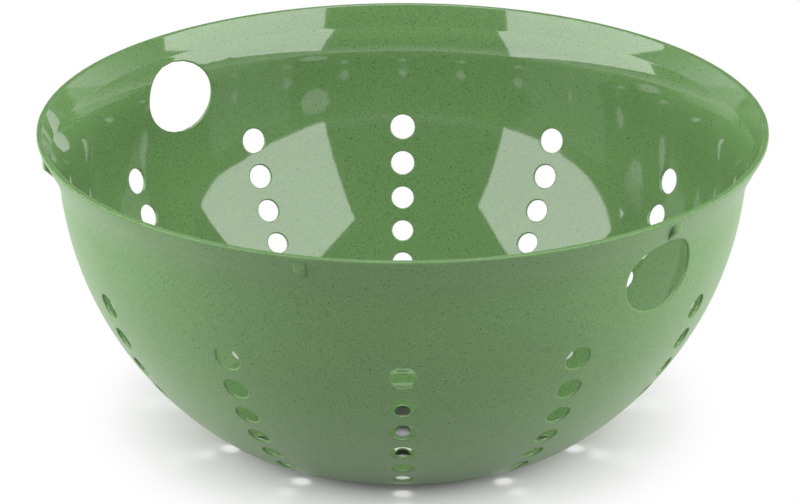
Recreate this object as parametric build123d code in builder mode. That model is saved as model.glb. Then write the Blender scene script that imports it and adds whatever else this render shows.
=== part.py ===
"""Bowl colander moulded in one piece: flared rim, drain holes, two grip holes and rim gussets.

The moulding is a thin shell turned about +Z. It stands on a flat ring at z = 0, and the floor
inside that ring is pushed up into a low dome, so that water runs off the middle to the holes.
"""

import os
from math import asin, atan2, cos, pi, radians, sin, sqrt

from build123d import *

# Overall size
rim_radius = 141.2
height = 123.0

# Wall: a sphere, then a lean outwards to the crease where the flare starts
wall = 1.2
wall_inset = 7.8
lean_height = 14.0
flare_height = 8.7
flare_width = 5.2

# Lip: the end of the flare, a narrow land on top and a low band that faces outwards
lip_width = 2.1
lip_height = 1.2
lip_rounding_radius = 0.4

# Base: a flat ring to stand on, with a fillet outside it and a dome inside it
foot_radius = 61.2
foot_fillet_radius = 35.6
dome_height = 12.6
dome_sphere_radius = 94.0
dome_fillet_radius = 12.8

# Drain holes in columns down the wall, an even gap apart and smaller from row to row
columns = 12
wall_rows = 8
first_row_angle = 72.5
row_gap = 5.4
first_row_diameter = 10.4
last_row_diameter = 6.8

# Drain holes in rings on the dome, inside the ring that the bowl stands on
dome_rows = 4
dome_row_radius = 46.4
dome_row_gap = 4.6
dome_hole_diameter = 6.0

# Grip holes: two large holes under the flare, on opposite sides, a little wider than tall
grip_width = 34.0
grip_tallness = 29.5
grip_depth = 25.1
grip_azimuths = (-45.0, 135.0)

# Gussets: small tapered ribs under the lip, evenly spaced round the rim
gusset_count = 6
gusset_first_azimuth = -45.0
gusset_top_width = 5.8
gusset_tip_width = 3.0
gusset_tip_radius = 1.2
gusset_height = 9.2
gusset_face_height = 5.0
gusset_inset = 0.5
gusset_bite_depth = 0.8

# One overrun for every cut
overrun = 3.0


def arc_points(centre, radius, start, end):
    """Start, middle and end of an arc, with its angles counted outwards from straight down."""
    centre_radius, centre_height = centre
    return [
        (centre_radius + radius * sin(angle), centre_height - radius * cos(angle))
        for angle in (start, (start + end) / 2, end)
    ]


# The dome's sphere and its fillet touch where the line between their centres crosses them
dome_centre_height = dome_height - dome_sphere_radius
dome_fillet_height = wall + dome_fillet_radius
dome_reach = dome_sphere_radius + dome_fillet_height
dome_foot_radius = sqrt(dome_reach**2 - (dome_fillet_height - dome_centre_height) ** 2)
dome_turn = asin(dome_foot_radius / dome_reach)

# The foot fillet touches the wall's sphere in the same way, which gives the sphere's height
wall_sphere_radius = rim_radius - wall_inset
foot_reach = wall_sphere_radius - foot_fillet_radius
foot_turn = asin(foot_radius / foot_reach)
wall_sphere_height = foot_fillet_radius + foot_reach * cos(foot_turn)

# The lean is an arc from the sphere to the crease, which curves outwards
inner_sphere_radius = wall_sphere_radius - wall
crease_radius = rim_radius - flare_width
crease_height = height - flare_height
lean_start_height = crease_height - lean_height
lean_start = asin((wall_sphere_height - lean_start_height) / inner_sphere_radius)
lean_width = crease_radius - inner_sphere_radius * cos(lean_start)
lean_end = 2 * atan2(lean_width, lean_height) - lean_start
lean_radius = lean_height / (sin(lean_end) - sin(lean_start))
lean_centre = (
    crease_radius + lean_radius * cos(lean_end),
    crease_height - lean_radius * sin(lean_end),
)
lip_inner = (rim_radius - lip_width, height)
lip_outer = (rim_radius, height - lip_height)


def shell_side(inset, lip_point):
    """One side of the shell's section, from the middle of the base to the lip.

    The inset is counted from the outside: nothing for the outside, the wall for the inside.
    """
    dome = ThreePointArc(
        *arc_points((0, dome_centre_height), dome_sphere_radius + inset, pi, pi - dome_turn)
    )
    ThreePointArc(
        *arc_points(
            (dome_foot_radius, dome_fillet_height), dome_fillet_height - inset, -dome_turn, 0
        )
    )
    Line((dome_foot_radius, inset), (foot_radius, inset))
    ThreePointArc(
        *arc_points((foot_radius, foot_fillet_radius), foot_fillet_radius - inset, 0, foot_turn)
    )
    ThreePointArc(
        *arc_points(
            (0, wall_sphere_height), wall_sphere_radius - inset, foot_turn, pi / 2 - lean_start
        )
    )
    lean = ThreePointArc(
        *arc_points(
            lean_centre,
            lean_radius - wall + inset,
            -(pi / 2 + lean_start),
            -(pi / 2 + lean_end),
        )
    )
    Line(lean @ 1, lip_point)
    return dome @ 0


def drain_plane(centre_height, reach, tilt, azimuth):
    """Plane beyond the shell that faces away from a sphere's centre.

    The tilt is in radians from +Z, and the azimuth in degrees from +X. Its X axis is level.
    """
    turn = radians(azimuth)
    sideways = (-sin(turn), cos(turn), 0)
    outwards = (sin(tilt) * cos(turn), sin(tilt) * sin(turn), cos(tilt))
    middle = Plane(origin=(0, 0, centre_height), x_dir=sideways, z_dir=outwards)
    return middle.offset(reach + overrun)


# One gusset, drawn in the plane of +X: its side first, then cut to the taper of its front
with BuildPart() as gusset:
    gusset_front = rim_radius - gusset_inset
    gusset_top = height - lip_height
    gusset_foot = gusset_top - gusset_height
    wall_at_foot = lean_centre[0] - sqrt(
        (lean_radius - wall) ** 2 - (gusset_foot - lean_centre[1]) ** 2
    )
    with BuildSketch(Plane.XZ):
        with BuildLine():
            Polyline(
                (gusset_front, gusset_top),
                (gusset_front, gusset_top - gusset_face_height),
                (wall_at_foot, gusset_foot),
                (wall_at_foot - gusset_bite_depth, gusset_foot),
                (gusset_front - gusset_bite_depth, gusset_top),
                close=True,
            )
        make_face()
    extrude(amount=gusset_top_width / 2, both=True)
    with BuildSketch(Plane.YZ) as gusset_taper:
        with BuildLine():
            Polyline(
                (-gusset_top_width / 2, gusset_top),
                (gusset_top_width / 2, gusset_top),
                (gusset_tip_width / 2, gusset_foot),
                (-gusset_tip_width / 2, gusset_foot),
                close=True,
            )
        make_face()
        fillet(gusset_taper.vertices().group_by(Axis.Y)[0], gusset_tip_radius)
    extrude(amount=rim_radius, mode=Mode.INTERSECT)

with BuildPart() as colander_bowl:
    with BuildSketch(Plane.XZ) as section:
        with BuildLine():
            under_middle = shell_side(0, lip_outer)
            upper_middle = shell_side(wall, lip_inner)
            Polyline(lip_outer, (rim_radius, height), lip_inner)
            Line(under_middle, upper_middle)
        make_face()
        lip_corners = section.vertices().filter_by_position(
            Axis.Y, height - lip_height - lip_rounding_radius, height
        )
        fillet(lip_corners, lip_rounding_radius)
    revolve(axis=Axis.Z)

    with PolarLocations(0, gusset_count, start_angle=gusset_first_azimuth):
        add(gusset.part)

    # Drain holes square to the wall: their axes meet at the centre of its sphere
    row_angle = radians(first_row_angle)
    row_diameter = first_row_diameter
    for row in range(wall_rows):
        row_planes = [
            drain_plane(wall_sphere_height, wall_sphere_radius, pi - row_angle, 360 * n / columns)
            for n in range(columns)
        ]
        with Locations(*row_planes):
            Hole(radius=row_diameter / 2, depth=wall + 2 * overrun)
        next_diameter = row_diameter - (first_row_diameter - last_row_diameter) / (wall_rows - 1)
        row_angle -= (row_gap + (row_diameter + next_diameter) / 2) / wall_sphere_radius
        row_diameter = next_diameter

    # Drain holes square to the dome. Every other column stops before the last ring
    for row in range(dome_rows):
        ring_radius = dome_row_radius - row * (dome_row_gap + dome_hole_diameter)
        ring_count = columns if row < dome_rows - 1 else columns // 2
        ring_tilt = asin(ring_radius / dome_sphere_radius)
        ring_planes = [
            drain_plane(dome_centre_height, dome_sphere_radius + wall, ring_tilt, azimuth)
            for azimuth in (360 * n / ring_count - 90 for n in range(ring_count))
        ]
        with Locations(*ring_planes):
            Hole(radius=dome_hole_diameter / 2, depth=wall + 2 * overrun)

    # Grip holes, square to the wall
    grip_height = height - grip_depth
    grip_tilt = pi / 2 + asin((wall_sphere_height - grip_height) / wall_sphere_radius)
    for azimuth in grip_azimuths:
        with BuildSketch(drain_plane(wall_sphere_height, wall_sphere_radius, grip_tilt, azimuth)):
            Ellipse(grip_width / 2, grip_tallness / 2)
        extrude(amount=-(wall + 2 * overrun), mode=Mode.SUBTRACT)
colander_bowl.part.label = "colander_bowl"

os.makedirs("parts", exist_ok=True)
export_step(colander_bowl.part, "parts/colander_bowl.step")
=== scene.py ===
"""Dresses the bowl colander: a smooth moulded shell with rounded hole edges, its rim gussets,
speckled green plastic, and a plain studio."""

from math import asin, atan2, cos, pi, radians, sin, sqrt

import bpy
import numpy as np
from bpy.props import FloatProperty, FloatVectorProperty, IntProperty, PointerProperty
from mathutils import Matrix, Vector


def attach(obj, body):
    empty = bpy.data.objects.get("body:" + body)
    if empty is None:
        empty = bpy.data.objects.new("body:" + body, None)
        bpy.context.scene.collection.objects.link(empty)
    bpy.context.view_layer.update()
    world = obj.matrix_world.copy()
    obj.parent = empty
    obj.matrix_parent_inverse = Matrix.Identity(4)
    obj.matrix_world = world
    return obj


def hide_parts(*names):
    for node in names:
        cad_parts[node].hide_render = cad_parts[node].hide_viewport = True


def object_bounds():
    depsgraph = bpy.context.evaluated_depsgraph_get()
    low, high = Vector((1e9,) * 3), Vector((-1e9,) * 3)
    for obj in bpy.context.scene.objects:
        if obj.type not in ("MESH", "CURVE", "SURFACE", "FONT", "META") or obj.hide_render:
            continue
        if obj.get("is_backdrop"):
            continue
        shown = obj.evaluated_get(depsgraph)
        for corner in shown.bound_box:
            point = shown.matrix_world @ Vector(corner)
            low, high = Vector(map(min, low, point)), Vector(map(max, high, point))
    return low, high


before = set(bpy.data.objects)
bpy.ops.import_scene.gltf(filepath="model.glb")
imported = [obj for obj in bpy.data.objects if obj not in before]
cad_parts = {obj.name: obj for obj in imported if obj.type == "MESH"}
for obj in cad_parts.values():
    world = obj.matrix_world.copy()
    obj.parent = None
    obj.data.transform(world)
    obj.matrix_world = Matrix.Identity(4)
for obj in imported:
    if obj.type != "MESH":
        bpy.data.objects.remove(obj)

bl_info = {
    "name": "Bowl Colander",
    "version": (1, 0, 0),
    "blender": (4, 5, 0),
    "location": "View3D > Sidebar > Colander",
    "description": "Builds a moulded bowl colander with drain holes, its finish and a plain studio",
    "category": "Add Mesh",
}

MM = 0.001
CAD_LOW, CAD_HIGH = (Vector(corner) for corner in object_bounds())
RIM_RADIUS = (CAD_HIGH.x - CAD_LOW.x) / 2
BOWL_HEIGHT = CAD_HIGH.z - CAD_LOW.z
FULL_TURN = 2 * pi


def length(name, description, default):
    """A size in metres that a user may change."""
    return FloatProperty(
        name=name, description=description, default=default, min=0, unit="LENGTH", precision=5
    )


def turn(name, description, default):
    """An angle in degrees as written here, kept in radians."""
    return FloatProperty(
        name=name, description=description, default=radians(default), unit="ROTATION"
    )


def colour(name, description, default):
    """A linear colour."""
    return FloatVectorProperty(
        name=name, description=description, default=default, size=3, min=0, max=1, subtype="COLOR"
    )


def number(name, description, default):
    """A plain number, never negative."""
    return FloatProperty(name=name, description=description, default=default, min=0, precision=4)


class ShellSizes(bpy.types.PropertyGroup):
    """Section of the moulding, from the middle of its base to its lip."""

    rim_radius: length("Rim radius", "Outer radius of the lip", RIM_RADIUS)
    height: length("Height", "Height of the lip above the table", BOWL_HEIGHT)
    wall: length("Wall", "Thickness of the wall", 1.2 * MM)
    wall_inset: length("Wall inset", "From the rim in to the wall's sphere", 7.8 * MM)
    lean_height: length("Lean height", "Height of the wall's outward lean", 14.0 * MM)
    flare_height: length("Flare height", "From the crease up to the lip", 8.7 * MM)
    flare_width: length("Flare width", "From the crease out to the lip", 5.2 * MM)
    lip_width: length("Lip width", "Width of the narrow land on top", 2.1 * MM)
    lip_height: length("Lip height", "Height of the band that faces outwards", 1.2 * MM)
    lip_rounding: length("Lip rounding", "Radius of the lip's edges", 0.55 * MM)
    foot_radius: length("Foot radius", "Outer radius of the standing ring", 61.2 * MM)
    foot_fillet: length("Foot fillet", "Outer radius between base and wall", 35.6 * MM)
    dome_height: length("Dome height", "Height of the dome's underside", 12.6 * MM)
    dome_radius: length("Dome sphere", "Radius of the dome's underside", 94.0 * MM)
    dome_fillet: length("Dome fillet", "Inner radius at the dome's foot", 12.8 * MM)


class HoleSizes(bpy.types.PropertyGroup):
    """Drain holes and grip holes."""

    columns: IntProperty(name="Columns", description="Hole columns", default=12, min=3)
    wall_rows: IntProperty(name="Wall rows", description="Rows on the wall", default=8, min=1)
    first_row: turn("First row", "Angle of the top row from straight down", 72.5)
    row_gap: length("Row gap", "Skin between two rows on the wall", 5.4 * MM)
    first_diameter: length("Top hole", "Diameter in the top row", 10.4 * MM)
    last_diameter: length("Low hole", "Diameter in the lowest wall row", 6.8 * MM)
    dome_rows: IntProperty(name="Dome rows", description="Rings on the dome", default=4, min=1)
    dome_row: length("Dome ring", "Radius of the dome's outer ring of holes", 46.4 * MM)
    dome_gap: length("Dome gap", "Skin between two rings on the dome", 4.6 * MM)
    dome_diameter: length("Dome hole", "Diameter of the holes in the dome", 6.0 * MM)
    edge_radius: length("Edge rounding", "Radius of every hole's edge", 0.45 * MM)
    grip_width: length("Grip width", "Width of the grip holes", 34.0 * MM)
    grip_tallness: length("Grip tallness", "Height of the grip holes' outline", 29.5 * MM)
    grip_depth: length("Grip depth", "From the lip down to the grip holes' centres", 25.1 * MM)
    lane_half: length("Lane half", "Half width of the mesh lane that holds a column", 6.6 * MM)
    lane_limit: turn("Lane limit", "Largest half angle of that lane", 11.5)


class GussetSizes(bpy.types.PropertyGroup):
    """Tapered ribs under the lip."""

    count: IntProperty(name="Count", description="Gussets round the rim", default=6, min=1)
    first: turn("First", "Direction of the first gusset from +X", -45.0)
    top_width: length("Top width", "Width under the lip", 5.8 * MM)
    tip_width: length("Tip width", "Width above the rounded tip", 3.0 * MM)
    height: length("Height", "From the lip's lower edge to the tip", 9.2 * MM)
    face_height: length("Face height", "Height of the upright face under the lip", 5.0 * MM)
    inset: length("Inset", "Distance inside the rim radius", 0.5 * MM)
    bite: length("Bite", "Depth sunk into the wall", 0.8 * MM)


class PlasticLook(bpy.types.PropertyGroup):
    """Colours and gloss of the moulded plastic."""

    inside_green: colour("Inside", "Colour of the glossy side", (0.131, 0.247, 0.090))
    outside_green: colour("Outside", "Colour of the satin side", (0.131, 0.247, 0.090))
    fleck_green: colour("Flecks", "Colour of the fine fibres", (0.045, 0.095, 0.025))
    inside_roughness: number("Inside roughness", "Roughness of the glossy side", 0.05)
    outside_roughness: number("Outside roughness", "Roughness of the satin side", 0.34)
    inside_specular: number("Inside gloss", "Strength of the glossy side's reflections", 0.95)
    outside_specular: number("Outside gloss", "Strength of the satin side's reflections", 0.45)
    inside_dimple: number("Inside dimples", "Strength of the glossy side's dimpling", 0.15)
    outside_dimple: number("Outside dimples", "Strength of the satin side's dimpling", 0.6)
    fleck_spacing: length("Fleck spacing", "Size of the cells that hold flecks", 1.15 * MM)


class StudioLook(bpy.types.PropertyGroup):
    """Camera, lamps and floor."""

    camera_distance: length("Camera distance", "From the target to the camera", 1.2885)
    camera_height: turn("Camera elevation", "Angle of the view above the floor", 22.95)
    target_height: length("Target height", "Height of the point looked at", 67.16 * MM)
    focal_pixels: number("Focal length", "Focal length in pixels", 3270.7)
    target_column: number("Target column", "Pixel column of the point looked at", 402.7)
    lamp_distance: length("Lamp distance", "From the bowl to each softbox", 1.3)
    lamp_width: length("Lamp width", "Width of each softbox", 1.22)
    lamp_tallness: length("Lamp height", "Height of each softbox", 1.1)
    lamp_power: number("Lamp power", "Power of each softbox in watts", 13.5)
    right_azimuth: turn("Right azimuth", "Right softbox, from the front to the right", 55.5)
    right_elevation: turn("Right elevation", "Height angle of the right softbox", 39.9)
    right_tilt: turn("Right tilt", "Lean of the right softbox's top away from the bowl", 35.5)
    right_pan: turn("Right pan", "Swivel of the right softbox", 10.9)
    right_roll: turn("Right roll", "Turn of the right softbox in its own plane", 4.1)
    left_azimuth: turn("Left azimuth", "Left softbox, from the front to the left", 62.4)
    left_elevation: turn("Left elevation", "Height angle of the left softbox", 35.9)
    left_tilt: turn("Left tilt", "Lean of the left softbox's top away from the bowl", 39.5)
    left_pan: turn("Left pan", "Swivel of the left softbox", 18.4)
    left_roll: turn("Left roll", "Turn of the left softbox in its own plane", 7.0)
    side_azimuth: turn("Side azimuth", "Fill lamps, from the front to each side", 105)
    side_elevation: turn("Side elevation", "Height angle of the fill lamps", 4)
    side_power: number("Side power", "Power of each side fill lamp in watts", 18.0)
    top_elevation: turn("Top elevation", "Height angle of the fill lamp above", 84)
    top_power: number("Top power", "Power of the fill lamp above in watts", 12.0)
    fill_width: length("Fill width", "Width of each fill lamp", 0.8)
    side_tallness: length("Side height", "Height of each side fill lamp", 0.3)
    ambient: number("Ambient", "Light that comes evenly from all round", 0.05)
    white_below: turn("White below", "Height angle up to which reflections show white", 4)
    dim_above: turn("Dim above", "Height angle from which reflections show none of it", 14)
    floor_shade: number("Floor shade", "Share of the light that the floor sends back", 0.45)
    floor_seen: number("Floor seen", "Brightness of the floor where it is seen or mirrored", 0.7)
    shadow_reach: length("Shadow reach", "From the bowl's middle to where the shadow fades", 0.06)
    shadow_end: length("Shadow end", "From the bowl's middle to plain white floor", 0.13)


DENSE_POINTS = 4001
PHOTO_WIDTH = 800
SENSOR_WIDTH = 36.0
CLIP_NEAR, CLIP_FAR = 0.05, 50.0
PLASTIC_IOR = 1.5
DRIFT_SCALE, DRIFT_SHADES = 18.0, (0.93, 1.07)
GRAIN_SIZE, GRAIN_NOISE, GRAIN_SHADES = 0.7 * MM, (0.3, 0.7), (0.86, 1.14)
FLECK_STRETCHES = ((1.0, 0.5, 0.7), (0.5, 1.0, 0.8), (0.8, 0.55, 1.0))
FLECK_TURN = (0.4, 0.9, 0.7)
FLECK_PICK, FLECK_RADII = (0.3, 1.0), (0.0, 0.23)
FLECK_EDGE, FLECK_STRENGTH = (-0.02, 0.07), 0.9
DIMPLE_SCALE, DIMPLE_DEPTH = 260.0, 0.04 * MM
SEEING_RAYS = ("Is Camera Ray", "Is Glossy Ray", "Is Transmission Ray")
FLOOR_RADIUS = 6.0
FLOOR_SIDES = 96
FLOOR_DROP = 0.2 * MM


class Section:
    """The shell's section as arcs and one line, measured along the middle of the wall.

    Each row of the table holds a centre (radius, height), a mid-wall radius, a start and an end
    angle counted outwards from straight down, and a side: +1 where the centre is inside the bowl
    and -1 where it is outside. A point at distance s along the middle and offset o towards the
    outside is centre + (radius + side * o) * (sin angle, -cos angle). On the flat ring the centre
    moves outwards with s instead.
    """

    def __init__(self, sizes):
        half = sizes.wall / 2
        self.dome_sphere = sizes.dome_radius
        self.dome_centre = sizes.dome_height - sizes.dome_radius
        fillet_height = sizes.wall + sizes.dome_fillet
        dome_reach = sizes.dome_radius + fillet_height
        dome_foot = sqrt(dome_reach**2 - (fillet_height - self.dome_centre) ** 2)
        dome_turn = asin(dome_foot / dome_reach)
        self.sphere_radius = sizes.rim_radius - sizes.wall_inset
        foot_reach = self.sphere_radius - sizes.foot_fillet
        foot_turn = asin(sizes.foot_radius / foot_reach)
        self.sphere_height = sizes.foot_fillet + foot_reach * cos(foot_turn)
        crease_radius = sizes.rim_radius - sizes.flare_width
        crease_height = sizes.height - sizes.flare_height
        lean_start = crease_height - sizes.lean_height
        inner = self.sphere_radius - sizes.wall
        start = asin((self.sphere_height - lean_start) / inner)
        end = 2 * atan2(crease_radius - inner * cos(start), sizes.lean_height) - start
        lean = sizes.lean_height / (sin(end) - sin(start))
        centre = (crease_radius + lean * cos(end), crease_height - lean * sin(end))
        quarter = pi / 2
        table = np.array(
            [
                (0, self.dome_centre, sizes.dome_radius + half, pi, pi - dome_turn, -1),
                (dome_foot, fillet_height, fillet_height - half, -dome_turn, 0, 1),
                (dome_foot, fillet_height, fillet_height - half, 0, 0, 1),
                (sizes.foot_radius, sizes.foot_fillet, sizes.foot_fillet - half, 0, foot_turn, 1),
                (0, self.sphere_height, self.sphere_radius - half, foot_turn, quarter - start, 1),
                (*centre, lean - half, -(quarter + start), -(quarter + end), -1),
            ]
        )
        self.centre_r, self.centre_z, self.radius, self.first, self.last, self.side = table.T
        self.length = self.radius * np.abs(self.last - self.first)
        flat = 2
        self.length[flat] = sizes.foot_radius - dome_foot
        self.slide = np.zeros(len(table))
        self.slide[flat] = 1
        self.begin = np.concatenate([[0], np.cumsum(self.length)[:-1]])
        self.end = self.begin[-1] + self.length[-1]
        dense = np.linspace(0, self.end, DENSE_POINTS)
        self.dense_s, self.dense_r = dense, self.point(dense, 0)[0]

    def at(self, s):
        """Index of the stretch that holds s, its share of that stretch and its angle."""
        index = np.clip(np.searchsorted(self.begin, s, side="right") - 1, 0, len(self.begin) - 1)
        share = (s - self.begin[index]) / self.length[index]
        return index, share, self.first[index] + (self.last - self.first)[index] * share

    def point(self, s, offset):
        """Radius and height at s, offset towards the outside."""
        index, share, angle = self.at(np.asarray(s, float))
        reach = self.radius[index] + self.side[index] * offset
        shift = self.slide[index] * self.length[index] * share
        radius = self.centre_r[index] + shift + reach * np.sin(angle)
        return radius, self.centre_z[index] - reach * np.cos(angle)

    def spread(self, s):
        """How fast the radius grows with s: the cosine of the slope."""
        step = self.end / len(self.dense_s)
        low, high = np.clip(s - step, 0, self.end), np.clip(s + step, 0, self.end)
        return (self.point(high, 0)[0] - self.point(low, 0)[0]) / (high - low)

    def s_of_ray(self, centre_height, tilt):
        """Distance s where a ray from the axis, at this height and tilt from straight down, first
        meets the middle of the wall: there the point's own tilt agrees with the ray's."""
        below = centre_height - self.point(self.dense_s, 0)[1]
        miss = np.arctan2(self.dense_r, below) - tilt
        before = int(np.nonzero(np.diff(np.sign(miss)))[0][0])
        share = miss[before] / (miss[before] - miss[before + 1])
        start, end = self.dense_s[before : before + 2]
        return float(start + share * (end - start))


def swing(section, s, angle, offset):
    """Points of the shell: the section's point at s, turned by an angle about the bowl's axis."""
    radius, height = section.point(s, offset)
    height = np.broadcast_to(height, np.shape(angle))
    return np.stack([radius * np.cos(angle), radius * np.sin(angle), height], axis=-1)


class Patches:
    """Collects grids of points, each with two parameters, and welds them into one closed mesh."""

    def __init__(self):
        self.points, self.faces, self.inside, self.count = [], [], [], 0

    def add(self, grid, inside):
        """Adds a grid of points as quads. The inside mask tells the glossy faces."""
        rows, lanes = grid.shape[:2]
        index = self.count + np.arange(rows * lanes).reshape(rows, lanes)
        quads = np.stack(
            [index[:-1, :-1], index[:-1, 1:], index[1:, 1:], index[1:, :-1]], axis=-1
        ).reshape(-1, 4)
        self.points.append(grid.reshape(-1, 3))
        self.faces.append(quads)
        mask = np.broadcast_to(np.asarray(inside), (rows - 1, lanes - 1))
        self.inside.append(mask.reshape(-1))
        self.count += rows * lanes

    def weld(self):
        """Merges points that agree to a tenth of a micron, and drops sides of no length."""
        points = np.concatenate(self.points)
        keys = np.round(points / WELD_DISTANCE).astype(np.int64)
        _, first, inverse = np.unique(keys, axis=0, return_index=True, return_inverse=True)
        return points[first], inverse.reshape(-1)[np.concatenate(self.faces)], np.concatenate(
            self.inside
        )


def signed_volume(points, faces):
    """Six times the volume inside quads, each cut into two triangles from its first corner."""
    a, b, c, d = (points[faces[:, i]] for i in range(4))
    return np.einsum("ij,ij->", a, np.cross(b, c)) + np.einsum("ij,ij->", a, np.cross(c, d))


def make_mesh(name, patches, materials):
    """Turns welded patches into a smooth-shaded object at the origin, faces outwards."""
    points, faces, inside = patches.weld()
    if signed_volume(points, faces) < 0:
        faces = faces[:, ::-1]
    follows = np.roll(faces, -1, axis=1)
    keep = faces != follows
    counts = keep.sum(axis=1)
    whole = counts >= 3
    keep[~whole] = False
    corners = faces[keep]
    counts = counts[whole]
    edges = np.stack([faces, follows], axis=-1)[keep & whole[:, None]]
    ways, times = np.unique(edges, axis=0, return_counts=True)
    back = {tuple(edge) for edge in ways[:, ::-1].tolist()}
    if times.max() > 1 or back != {tuple(edge) for edge in ways.tolist()}:
        raise RuntimeError(f"{name} isn't closed")
    mesh = bpy.data.meshes.new(name)
    mesh.vertices.add(len(points))
    mesh.vertices.foreach_set("co", points.ravel())
    mesh.loops.add(len(corners))
    mesh.loops.foreach_set("vertex_index", corners)
    mesh.polygons.add(len(counts))
    mesh.polygons.foreach_set("loop_start", np.concatenate([[0], np.cumsum(counts)[:-1]]))
    mesh.polygons.foreach_set("loop_total", counts)
    mesh.update(calc_edges=True)
    mesh.polygons.foreach_set("use_smooth", np.ones(len(counts), bool))
    for material in materials:
        mesh.materials.append(material)
    mesh.polygons.foreach_set("material_index", inside[whole].astype(np.int32))
    mesh.validate()
    piece = bpy.data.objects.new(name, mesh)
    bpy.context.scene.collection.objects.link(piece)
    return piece


WELD_DISTANCE = 1e-7
LEAST_SPREAD = 0.02
LANE_CLOSE_SHARE = 0.1
LANE_STEPS = 8
PLAIN_STEPS = 8
CELL_ROWS = 6
GRIP_ROWS = 14
TOP_ROWS = 6
EDGE_STEPS = 3
LIP_STEPS = 5
GUSSET_SKIN_STEPS = 400
GUSSET_ROWS = 12
GUSSET_TIP_ROWS = 8
GUSSET_QUARTER = 8
LOOP_POWER = 0.8
SKIN_SHARES = (1.0, 0.55, 0.22, 0.0)
SUPPORT = 0.15 * MM
CREASE_SUPPORT = 0.4 * MM
CENTRE_SHARE = 0.52
CENTRE_ROWS = 4
FRONT = radians(-90)


def lane_angles(section, holes, s):
    """Directions of the mesh's upright lines at each s.

    Each column has a lane of LANE_STEPS for its holes, as wide as the lane sizes say, and a plain
    lane of PLAIN_STEPS up to the next column. The last direction is the first plus a full turn.
    """
    s = np.atleast_1d(s)
    pitch = FULL_TURN / holes.columns
    radius = np.maximum(section.point(s, 0)[0], holes.lane_half * LANE_CLOSE_SHARE)
    half = np.minimum(holes.lane_half / radius, holes.lane_limit)[:, None]
    lane = half * np.linspace(-1, 1, LANE_STEPS + 1)
    plain = half + (pitch - 2 * half) * np.linspace(0, 1, PLAIN_STEPS + 1)[1:-1]
    local = np.concatenate([lane, plain], axis=1)
    centres = FRONT + pitch * np.arange(holes.columns)
    angles = (centres[None, :, None] + local[:, None, :]).reshape(len(s), -1)
    return np.concatenate([angles, angles[:, :1] + FULL_TURN], axis=1)


def around(block):
    """The edge of a block of values as one closed loop: bottom, right, top, left."""
    return np.concatenate(
        [block[0, :], block[1:, -1], block[-1, -2::-1], block[-2::-1, 0]]
    )


def edge_profile(radius, rounding, half):
    """Radius and offset down a hole's side: rounded edge, straight side, rounded edge."""
    turn_steps = np.linspace(0, pi / 2, EDGE_STEPS + 1)
    radii = radius + rounding * (1 - np.sin(turn_steps))
    offsets = half - rounding * (1 - np.cos(turn_steps))
    radii = np.concatenate([[radius + rounding + SUPPORT], radii])
    offsets = np.concatenate([[half], offsets])
    return np.concatenate([radii, radii[::-1]]), np.concatenate([offsets, -offsets[::-1]])


def hole_grid(section, s_loop, angle_loop, s_centre, angle_centre, radius, rounding, half, wide=1):
    """Grid from a cell's edge on the outside, in to a hole, through it and back out inside.

    The skin near the hole is unrolled as a cone whose apex is spread / radius away, so a circle
    drawn round the hole's centre in that plane is a circle on the shell. Between the circle and
    the cell's edge the points lie on straight lines of the plane. The wide value stretches the
    circle sideways.
    """
    spread = max(float(section.spread(np.array([s_centre]))[0]), LEAST_SPREAD)
    apex = float(section.point(s_centre, 0)[0]) / spread
    reach = apex + s_loop - s_centre
    swing_angle = (angle_loop - angle_centre) * spread
    edge = np.stack([reach * np.sin(swing_angle), reach * np.cos(swing_angle) - apex])
    way = np.arctan2(edge[1], edge[0] / wide)
    ring = np.stack([wide * np.cos(way), np.sin(way)])
    radii, offsets = edge_profile(radius, rounding, half)
    shares = np.array(SKIN_SHARES)[1:-1, None, None]
    skin = shares * edge + (1 - shares) * radii[0] * ring
    flat = np.concatenate([skin, radii[:, None, None] * ring, skin[::-1]])
    lift = np.concatenate([np.full(len(skin), half), offsets, np.full(len(skin), -half)])
    reach = np.hypot(flat[:, 0], apex + flat[:, 1])
    s = s_centre + reach - apex
    angle = angle_centre + np.arctan2(flat[:, 0], apex + flat[:, 1]) / spread
    s = np.concatenate([s_loop[None], s, s_loop[None]])
    angle = np.concatenate([angle_loop[None], angle, angle_loop[None]])
    lift = np.concatenate([[half], lift, [-half]])[:, None]
    angle[:, -1], s[:, -1] = angle[:, 0], s[:, 0]
    grid = swing(section, s, angle, np.broadcast_to(lift, s.shape))
    return grid, lift[:-1] + lift[1:] < 0


def ring_list(section, holes):
    """Every ring of drain holes from the middle outwards: distance s, count and diameter.

    A dome row lies where a line square to the dome's sphere leaves it, and each wall row lies an
    even gap below the last, as arcs of the wall's sphere.
    """
    rings = []
    dome = holes.dome_row - (holes.dome_rows - 1) * (holes.dome_gap + holes.dome_diameter)
    for row in range(holes.dome_rows):
        tilt = pi - asin(dome / section.dome_sphere)
        count = holes.columns if row else holes.columns // 2
        rings.append((section.s_of_ray(section.dome_centre, tilt), count, holes.dome_diameter))
        dome += holes.dome_gap + holes.dome_diameter
    wall, tilt, diameter = [], holes.first_row, holes.first_diameter
    loss = (holes.first_diameter - holes.last_diameter) / (holes.wall_rows - 1)
    for _ in range(holes.wall_rows):
        wall.append((section.s_of_ray(section.sphere_height, tilt), holes.columns, diameter))
        tilt -= (holes.row_gap + diameter - loss / 2) / section.sphere_radius
        diameter -= loss
    return rings + wall[::-1]


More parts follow.
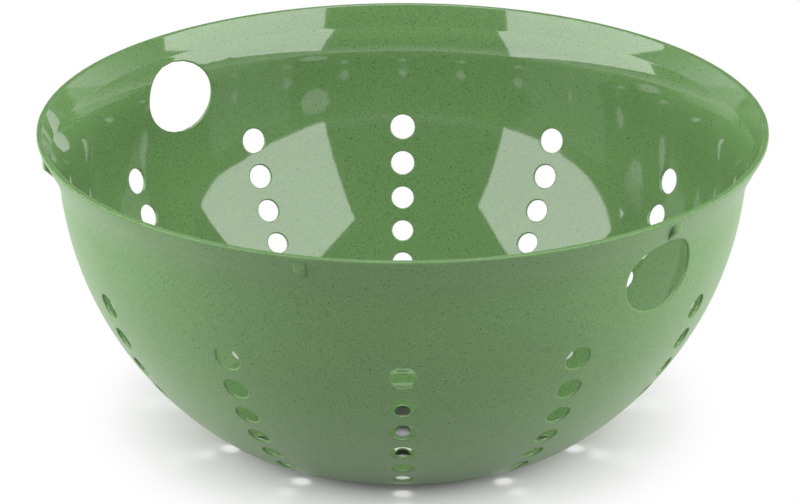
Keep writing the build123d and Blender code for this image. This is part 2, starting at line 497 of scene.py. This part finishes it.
def add_band(patches, section, holes, rows, half, hole_s, diameter):
    """Cells between two rings of points: a hole in each column lane, plain skin between."""
    angles = lane_angles(section, holes, rows)
    lanes = LANE_STEPS + PLAIN_STEPS
    s_block = np.repeat(rows[:, None], LANE_STEPS + 1, axis=1)
    for column in range(holes.columns):
        start = column * lanes
        cell = angles[:, start : start + LANE_STEPS + 1]
        grid, inside = hole_grid(
            section, around(s_block), around(cell), hole_s,
            FRONT + column * FULL_TURN / holes.columns, diameter / 2, holes.edge_radius, half,
        )
        patches.add(grid, inside)
        plain = angles[:, start + LANE_STEPS : start + lanes + 1]
        add_skin(patches, section, rows, plain, half)


def add_skin(patches, section, rows, angles, half):
    """Plain skin on both sides of the wall."""
    s = np.repeat(rows[:, None], angles.shape[1], axis=1)
    patches.add(swing(section, s, angles, half), False)
    patches.add(swing(section, s, angles, -half)[::-1], True)


def add_grip_band(patches, section, sizes, holes, rows, half):
    """The band under the crease, with a large hole in two opposite plain lanes."""
    angles = lane_angles(section, holes, rows)
    lanes = LANE_STEPS + PLAIN_STEPS
    drop = section.sphere_height - (sizes.height - holes.grip_depth)
    s_centre = section.s_of_ray(section.sphere_height, pi / 2 - asin(drop / section.sphere_radius))
    s_block = np.repeat(rows[:, None], PLAIN_STEPS + 1, axis=1)
    grip_columns = (1, 1 + holes.columns // 2)
    for column in range(holes.columns):
        start = column * lanes
        add_skin(patches, section, rows, angles[:, start : start + LANE_STEPS + 1], half)
        plain = angles[:, start + LANE_STEPS : start + lanes + 1]
        if column not in grip_columns:
            add_skin(patches, section, rows, plain, half)
            continue
        grid, inside = hole_grid(
            section, around(s_block), around(plain), s_centre,
            FRONT + (column + 0.5) * FULL_TURN / holes.columns,
            holes.grip_tallness / 2, holes.edge_radius, half, holes.grip_width / holes.grip_tallness,
        )
        patches.add(grid, inside)


def add_dome_top(patches, section, holes, rows, half, hole_s, diameter, count):
    """Wide cells round the dome's top, one for each hole of its inner ring."""
    angles = lane_angles(section, holes, rows)
    wrapped = np.concatenate([angles[:, :-1] - FULL_TURN, angles], axis=1)
    lanes = LANE_STEPS + PLAIN_STEPS
    wide = lanes * holes.columns // count
    s_block = np.repeat(rows[:, None], wide + 1, axis=1)
    for number in range(count):
        middle = lanes * holes.columns + LANE_STEPS // 2 + number * wide
        if middle + wide // 2 >= wrapped.shape[1]:
            middle -= lanes * holes.columns
        cell = wrapped[:, middle - wide // 2 : middle + wide // 2 + 1]
        grid, inside = hole_grid(
            section, around(s_block), around(cell), hole_s,
            wrapped[0, middle], diameter / 2, holes.edge_radius, half,
        )
        patches.add(grid, inside)


def add_centre(patches, section, holes, s_edge, half):
    """The plain middle of the dome: rings of skin that shrink to a pole on each side."""
    s = s_edge * np.linspace(1, 0, CENTRE_ROWS + 1)
    angles = lane_angles(section, holes, s_edge)[0, ::-1]
    s_grid = np.repeat(s[:, None], len(angles), axis=1)
    angle_grid = np.broadcast_to(angles, s_grid.shape)
    for offset, inside in ((half, False), (-half, True)):
        grid = swing(section, s_grid, angle_grid, offset)
        grid[-1, :, :2] = 0
        patches.add(grid[::-1] if inside else grid, inside)


def rounded_line(points, roundings, steps):
    """A line through the points whose corners are arcs of the given radii, none for zero."""
    path = [np.array(points[0])[None]]
    for before, corner, after, radius in zip(points, points[1:], points[2:], roundings):
        before, corner, after = map(np.array, (before, corner, after))
        a = (before - corner) / np.linalg.norm(before - corner)
        b = (after - corner) / np.linalg.norm(after - corner)
        if radius == 0:
            path.append(corner[None])
            continue
        half = np.arccos(np.clip(a @ b, -1, 1)) / 2
        middle = (a + b) / np.linalg.norm(a + b)
        centre = corner + middle * radius / np.sin(half)
        first = corner + a * radius / np.tan(half) - centre
        last = corner + b * radius / np.tan(half) - centre
        share = np.linspace(0, 1, steps + 1)[:, None]
        arc = first * (1 - share) + last * share
        arc *= radius / np.linalg.norm(arc, axis=1)[:, None]
        path.append(centre + arc)
    path.append(np.array(points[-1])[None])
    return np.concatenate(path)


def add_rim(patches, section, sizes, holes, half):
    """The flare and the lip: one outline, from the outer crease round to the inner, turned."""
    outer = np.array(section.point(section.end, half), float)
    inner = np.array(section.point(section.end, -half), float)
    lip_outer = np.array([sizes.rim_radius, sizes.height - sizes.lip_height])
    lip_top = np.array([sizes.rim_radius, sizes.height])
    lip_inner = np.array([sizes.rim_radius - sizes.lip_width, sizes.height])

    def along(start, end, distance):
        return start + (end - start) * distance / np.linalg.norm(end - start)

    corners = [
        outer,
        along(outer, lip_outer, CREASE_SUPPORT),
        lip_outer,
        lip_top,
        lip_inner,
        along(inner, lip_inner, CREASE_SUPPORT),
        inner,
    ]
    rounding = sizes.lip_rounding
    outline = rounded_line(corners, [0, rounding, rounding, rounding, 0], LIP_STEPS)
    glossy_from = 2 + 2 * (LIP_STEPS + 1)
    angles = lane_angles(section, holes, section.end)[0]
    grid = np.stack(
        [
            outline[:, :1] * np.cos(angles),
            outline[:, :1] * np.sin(angles),
            np.repeat(outline[:, 1:], len(angles), axis=1),
        ],
        axis=-1,
    )
    inside_rows = np.arange(len(outline) - 1) >= glossy_from
    patches.add(grid, inside_rows[:, None])


def rounded_loop(steps):
    """Cosine and sine round a loop, their size raised to LOOP_POWER: between circle and square.

    One quarter is worked out and mirrored, so that the loop is even to the last digit.
    """
    way = np.linspace(0, pi / 2, steps + 1)
    fall, climb = np.abs(np.cos(way)) ** LOOP_POWER, np.sin(way) ** LOOP_POWER
    fall[-1] = climb[0] = 0
    across = np.concatenate([fall, -fall[-2::-1], -fall[1:], fall[-2::-1]])
    out = np.concatenate([climb, climb[-2::-1], -climb[1:], -climb[-2::-1]])
    return across, out


def gusset_patch(sizes, gussets, section, direction):
    """One gusset as a tube of rounded rectangles from the lip down to a rounded tip.

    A loop at height z is (width / 2 * across, middle + depth / 2 * out), where across and out are
    the loop of rounded_loop. The width shrinks evenly, and at the tip along a circle.
    """
    top = sizes.height - sizes.lip_height
    low = top - gussets.height
    face = sizes.rim_radius - gussets.inset
    skin_r, skin_z = section.point(
        np.linspace(section.begin[-1], section.end, GUSSET_SKIN_STEPS), sizes.wall / 2
    )
    tip_radius = float(np.interp(low, skin_z, skin_r))
    tip = gussets.tip_width / 2
    body_end = 1 - tip / gussets.height
    rounding = np.sin(np.linspace(0, pi / 2, GUSSET_TIP_ROWS + 1)[1:])
    share = np.concatenate(
        [[0], np.linspace(0, body_end, GUSSET_ROWS + 1), body_end + (1 - body_end) * rounding]
    )
    heights = top + (low - top) * share
    width = gussets.top_width + (gussets.tip_width - gussets.top_width) * share
    into_tip = np.clip((low + tip - heights) / tip, 0, 1)
    width = width * np.sqrt(np.maximum(1 - into_tip**2, 0))
    width[0] = 0
    outer = np.interp(heights, [low, top - gussets.face_height, top], [tip_radius, face, face])
    inner = np.interp(heights, [low, top], [tip_radius - gussets.bite, face - gussets.bite])
    across, depth = rounded_loop(GUSSET_QUARTER)
    side = width[:, None] / 2 * across
    out = (outer + inner)[:, None] / 2 + (outer - inner)[:, None] / 2 * depth
    return np.stack(
        [
            out * cos(direction) - side * sin(direction),
            out * sin(direction) + side * cos(direction),
            np.repeat(heights[:, None], len(across), axis=1),
        ],
        axis=-1,
    )


def new_material(name):
    """An empty node material and its output."""
    material = bpy.data.materials.new(name)
    material.use_nodes = True
    tree = material.node_tree
    tree.nodes.clear()
    return material, tree, tree.nodes.new("ShaderNodeOutputMaterial")


def remap(tree, source, given, wanted):
    """A value carried in a straight line from one range to another, and held at its ends."""
    node = tree.nodes.new("ShaderNodeMapRange")
    for name, value in zip(("From Min", "From Max", "To Min", "To Max"), (*given, *wanted)):
        node.inputs[name].default_value = value
    tree.links.new(source, node.inputs["Value"])
    return node


def arithmetic(tree, operation, first, second):
    """Two values joined by one operation."""
    node = tree.nodes.new("ShaderNodeMath")
    node.operation = operation
    tree.links.new(first, node.inputs[0])
    tree.links.new(second, node.inputs[1])
    return node.outputs["Value"]


def noise(tree, place, scale, **inputs):
    """Smooth noise at a scale, with the other inputs by name."""
    node = tree.nodes.new("ShaderNodeTexNoise")
    node.inputs["Scale"].default_value = scale
    for key, value in inputs.items():
        node.inputs[key].default_value = value
    tree.links.new(place, node.inputs["Vector"])
    return node.outputs["Fac"]


def fleck_layer(tree, place, shade, fleck, spacing, number):
    """Specks over a shade, one in each cell, of a size that differs from cell to cell. The cells
    are stretched and turned by the layer's number, so the specks lie in different ways."""
    nodes, links = tree.nodes, tree.links
    mapping = nodes.new("ShaderNodeMapping")
    mapping.inputs["Scale"].default_value = FLECK_STRETCHES[number]
    mapping.inputs["Rotation"].default_value = tuple(step * number for step in FLECK_TURN)
    links.new(place, mapping.inputs["Vector"])
    cells = nodes.new("ShaderNodeTexVoronoi")
    cells.inputs["Scale"].default_value = 1 / spacing
    links.new(mapping.outputs["Vector"], cells.inputs["Vector"])
    picked = nodes.new("ShaderNodeSeparateColor")
    links.new(cells.outputs["Color"], picked.inputs["Color"])
    size = remap(tree, picked.outputs["Red"], FLECK_PICK, FLECK_RADII)
    nearer = arithmetic(tree, "SUBTRACT", size.outputs["Result"], cells.outputs["Distance"])
    mask = remap(tree, nearer, FLECK_EDGE, (0, FLECK_STRENGTH))
    mix = nodes.new("ShaderNodeMix")
    mix.data_type = "RGBA"
    links.new(mask.outputs["Result"], mix.inputs["Factor"])
    links.new(shade, mix.inputs["A"])
    mix.inputs["B"].default_value = (*fleck, 1)
    return mix.outputs["Result"]


def plastic(name, base, fleck, roughness, spacing, dimple, specular):
    """Moulded plastic: slow drift and fine grain in the colour, dark flecks, faint dimpling."""
    material, tree, output = new_material(name)
    nodes, links = tree.nodes, tree.links
    place = nodes.new("ShaderNodeTexCoord").outputs["Object"]
    slow = noise(tree, place, DRIFT_SCALE, Detail=3.0, Roughness=0.55)
    drift = remap(tree, slow, (0, 1), DRIFT_SHADES)
    grain = remap(tree, noise(tree, place, 1 / GRAIN_SIZE, Detail=1.0), GRAIN_NOISE, GRAIN_SHADES)
    both = arithmetic(tree, "MULTIPLY", drift.outputs["Result"], grain.outputs["Result"])
    tinted = nodes.new("ShaderNodeVectorMath")
    tinted.operation = "SCALE"
    tinted.inputs[0].default_value = base
    links.new(both, tinted.inputs["Scale"])
    shade = tinted.outputs["Vector"]
    for number in range(len(FLECK_STRETCHES)):
        shade = fleck_layer(tree, place, shade, fleck, spacing, number)
    bump = nodes.new("ShaderNodeBump")
    bump.inputs["Strength"].default_value = dimple
    bump.inputs["Distance"].default_value = DIMPLE_DEPTH
    links.new(noise(tree, place, DIMPLE_SCALE, Detail=2.0), bump.inputs["Height"])
    shader = nodes.new("ShaderNodeBsdfPrincipled")
    shader.inputs["Roughness"].default_value = roughness
    shader.inputs["IOR"].default_value = PLASTIC_IOR
    shader.inputs["Specular IOR Level"].default_value = specular
    links.new(shade, shader.inputs["Base Color"])
    links.new(bump.outputs["Normal"], shader.inputs["Normal"])
    links.new(shader.outputs["BSDF"], output.inputs["Surface"])
    return material


def finishes(look):
    """The satin outside and the glossy inside, in the order of the mesh's material slots."""
    names = ("satin_green_outside", "glossy_green_inside")
    made = [bpy.data.materials.get(name) for name in names]
    if all(made):
        return made
    fleck, spacing = tuple(look.fleck_green), look.fleck_spacing
    colours = (tuple(look.outside_green), tuple(look.inside_green))
    roughness = (look.outside_roughness, look.inside_roughness)
    dimples = (look.outside_dimple, look.inside_dimple)
    specular = (look.outside_specular, look.inside_specular)
    return [
        plastic(name, base, fleck, rough, spacing, dimple, gloss)
        for name, base, rough, dimple, gloss in zip(names, colours, roughness, dimples, specular)
    ]


class COLANDER_OT_shell(bpy.types.Operator):
    """Build the moulded bowl with its drain holes, grip holes, flare and lip"""

    bl_idname = "colander.shell"
    bl_label = "Moulded Bowl"

    def execute(self, context):
        scene = context.scene
        sizes, holes = scene.colander_shell, scene.colander_holes
        section = Section(sizes)
        half = sizes.wall / 2
        rings = ring_list(section, holes)
        centres = np.array([ring[0] for ring in rings])
        edges = (centres[1:] + centres[:-1]) / 2
        low = centres[0] * CENTRE_SHARE
        high = centres[-1] + (centres[-1] - centres[-2]) / 2
        edges = np.concatenate([[low], edges, [high]])
        patches = Patches()
        add_centre(patches, section, holes, edges[0], half)
        for ring, start, end in zip(rings, edges, edges[1:]):
            hole_s, count, diameter = ring
            if count < holes.columns:
                rows = np.linspace(start, end, TOP_ROWS + 1)
                add_dome_top(patches, section, holes, rows, half, hole_s, diameter, count)
            else:
                rows = np.linspace(start, end, CELL_ROWS + 1)
                add_band(patches, section, holes, rows, half, hole_s, diameter)
        rows = np.linspace(edges[-1], section.end - CREASE_SUPPORT, GRIP_ROWS + 1)
        rows = np.concatenate([rows, [section.end]])
        add_grip_band(patches, section, sizes, holes, rows, half)
        add_rim(patches, section, sizes, holes, half)
        piece = make_mesh("moulded_bowl", patches, finishes(scene.colander_plastic))
        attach(piece, "root")
        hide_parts("colander_bowl")
        return {"FINISHED"}


class COLANDER_OT_gussets(bpy.types.Operator):
    """Build the tapered ribs under the lip"""

    bl_idname = "colander.gussets"
    bl_label = "Rim Gussets"

    def execute(self, context):
        scene = context.scene
        sizes, gussets = scene.colander_shell, scene.colander_gussets
        section = Section(sizes)
        patches = Patches()
        for number in range(gussets.count):
            direction = gussets.first + number * FULL_TURN / gussets.count
            patches.add(gusset_patch(sizes, gussets, section, direction), False)
        piece = make_mesh("rim_gussets", patches, finishes(scene.colander_plastic))
        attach(piece, "root")
        return {"FINISHED"}


def value_by_ray(tree, value, by_kind):
    """A value for most rays, and another, a number or a socket, for rays of each named kind."""
    path = tree.nodes.new("ShaderNodeLightPath")
    for kind, seen in by_kind.items():
        mix = tree.nodes.new("ShaderNodeMix")
        tree.links.new(path.outputs[kind], mix.inputs["Factor"])
        for name, source in (("A", value), ("B", seen)):
            if isinstance(source, bpy.types.NodeSocket):
                tree.links.new(source, mix.inputs[name])
            else:
                mix.inputs[name].default_value = source
        value = mix.outputs["Result"]
    return value


def white_world(studio):
    """White where the camera sees it and low down in reflections, and dim as a source of light."""
    world = bpy.data.worlds.new("studio_world")
    world.use_nodes = True
    tree = world.node_tree
    tree.nodes.clear()
    output = tree.nodes.new("ShaderNodeOutputWorld")
    background = tree.nodes.new("ShaderNodeBackground")
    background.inputs["Color"].default_value = (1, 1, 1, 1)
    way = tree.nodes.new("ShaderNodeSeparateXYZ")
    tree.links.new(tree.nodes.new("ShaderNodeTexCoord").outputs["Generated"], way.inputs["Vector"])
    heights = (sin(studio.white_below), sin(studio.dim_above))
    fade = remap(tree, way.outputs["Z"], heights, (1, studio.ambient))
    kinds = {"Is Glossy Ray": fade.outputs["Result"], "Is Transmission Ray": 1, "Is Camera Ray": 1}
    strength = value_by_ray(tree, studio.ambient, kinds)
    tree.links.new(strength, background.inputs["Strength"])
    tree.links.new(background.outputs["Background"], output.inputs["Surface"])
    bpy.context.scene.world = world


def white_floor(studio):
    """A round pale floor that keeps the shadow, and turns plain white away from the bowl."""
    material, tree, output = new_material("pale_floor")
    diffuse = tree.nodes.new("ShaderNodeBsdfDiffuse")
    seen = dict.fromkeys(SEEING_RAYS, studio.floor_seen)
    tree.links.new(value_by_ray(tree, studio.floor_shade, seen), diffuse.inputs["Color"])
    distance = tree.nodes.new("ShaderNodeVectorMath")
    distance.operation = "LENGTH"
    tree.links.new(tree.nodes.new("ShaderNodeTexCoord").outputs["Object"], distance.inputs[0])
    reach = (studio.shadow_reach, studio.shadow_end)
    fade = remap(tree, distance.outputs["Value"], reach, (0, 1))
    fade.interpolation_type = "SMOOTHSTEP"
    away = dict.fromkeys(SEEING_RAYS, fade.outputs["Result"])
    mix = tree.nodes.new("ShaderNodeMixShader")
    tree.links.new(value_by_ray(tree, 0, away), mix.inputs["Fac"])
    tree.links.new(diffuse.outputs["BSDF"], mix.inputs[1])
    tree.links.new(tree.nodes.new("ShaderNodeEmission").outputs["Emission"], mix.inputs[2])
    tree.links.new(mix.outputs["Shader"], output.inputs["Surface"])
    way = np.linspace(0, FULL_TURN, FLOOR_SIDES + 1)[:-1]
    height = np.full(FLOOR_SIDES, -FLOOR_DROP)
    points = np.stack([FLOOR_RADIUS * np.cos(way), FLOOR_RADIUS * np.sin(way), height], axis=-1)
    mesh = bpy.data.meshes.new("floor")
    mesh.from_pydata(points.tolist(), [], [list(range(FLOOR_SIDES))])
    mesh.materials.append(material)
    floor = bpy.data.objects.new("floor", mesh)
    bpy.context.scene.collection.objects.link(floor)
    floor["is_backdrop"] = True


def lamp_at(name, azimuth, elevation, turns, size, studio, power):
    """A rectangular lamp, placed by its direction from the bowl. It faces the bowl and then turns
    about its own X, Y and Z."""
    data = bpy.data.lights.new(name, "AREA")
    data.shape = "RECTANGLE"
    data.size, data.size_y = size
    data.energy = power
    lamp = bpy.data.objects.new(name, data)
    bpy.context.scene.collection.objects.link(lamp)
    flat = cos(elevation)
    out = Vector((flat * sin(azimuth), -flat * cos(azimuth), sin(elevation)))
    lamp.location = Vector((0, 0, studio.target_height)) + out * studio.lamp_distance
    facing = out.to_track_quat("Z", "Y").to_matrix()
    for angle, axis in zip(turns, "XYZ"):
        facing = facing @ Matrix.Rotation(angle, 3, axis)
    lamp.rotation_euler = facing.to_euler()
    return lamp


class COLANDER_OT_stage(bpy.types.Operator):
    """Set the plain floor, the white surroundings, the softboxes and the camera"""

    bl_idname = "colander.stage"
    bl_label = "Studio"

    def execute(self, context):
        scene = context.scene
        studio = scene.colander_studio
        scene.view_settings.view_transform = "Standard"
        white_world(studio)
        white_floor(studio)
        size, power = (studio.lamp_width, studio.lamp_tallness), studio.lamp_power
        turns = (studio.right_tilt, studio.right_pan, studio.right_roll)
        azimuth, rise = studio.right_azimuth, studio.right_elevation
        lamp_at("softbox_right", azimuth, rise, turns, size, studio, power)
        turns = (studio.left_tilt, -studio.left_pan, -studio.left_roll)
        azimuth, rise = -studio.left_azimuth, studio.left_elevation
        lamp_at("softbox_left", azimuth, rise, turns, size, studio, power)
        size, unturned = (studio.fill_width, studio.fill_width), (0, 0, 0)
        lamp_at("fill_top", 0, studio.top_elevation, unturned, size, studio, studio.top_power)
        size = (studio.fill_width, studio.side_tallness)
        side, rise = studio.side_azimuth, studio.side_elevation
        for name, azimuth in (("fill_right", side), ("fill_left", -side)):
            fill = lamp_at(name, azimuth, rise, unturned, size, studio, studio.side_power)
            fill.visible_glossy = False
        data = bpy.data.cameras.new("camera")
        data.sensor_width = SENSOR_WIDTH
        data.lens = studio.focal_pixels / PHOTO_WIDTH * data.sensor_width
        data.shift_x = (PHOTO_WIDTH / 2 - studio.target_column) / PHOTO_WIDTH
        data.clip_start, data.clip_end = CLIP_NEAR, CLIP_FAR
        camera = bpy.data.objects.new("camera", data)
        scene.collection.objects.link(camera)
        rise = studio.camera_height
        camera.location = Vector((0, 0, studio.target_height)) + studio.camera_distance * Vector(
            (0, -cos(rise), sin(rise))
        )
        camera.rotation_euler = (pi / 2 - rise, 0, 0)
        scene.camera = camera
        return {"FINISHED"}


class COLANDER_PT_panel(bpy.types.Panel):
    """Lists the colander's operators in the 3D view's sidebar"""

    bl_idname = "COLANDER_PT_panel"
    bl_label = "Colander"
    bl_space_type = "VIEW_3D"
    bl_region_type = "UI"
    bl_category = "Colander"

    def draw(self, context):
        for operator in OPERATORS:
            self.layout.operator(operator.bl_idname)


OPERATORS = (COLANDER_OT_stage, COLANDER_OT_shell, COLANDER_OT_gussets)
GROUPS = {
    "colander_shell": ShellSizes,
    "colander_holes": HoleSizes,
    "colander_gussets": GussetSizes,
    "colander_plastic": PlasticLook,
    "colander_studio": StudioLook,
}


def register():
    for group in GROUPS.values():
        bpy.utils.register_class(group)
    for name, group in GROUPS.items():
        setattr(bpy.types.Scene, name, PointerProperty(type=group))
    for part in (*OPERATORS, COLANDER_PT_panel):
        bpy.utils.register_class(part)


def unregister():
    for part in (COLANDER_PT_panel, *reversed(OPERATORS)):
        bpy.utils.unregister_class(part)
    for name in GROUPS:
        delattr(bpy.types.Scene, name)
    for group in reversed(list(GROUPS.values())):
        bpy.utils.unregister_class(group)


def main():
    register()
    bpy.ops.colander.stage()
    bpy.ops.colander.shell()
    bpy.ops.colander.gussets()


if __name__ == "__main__":
    main()
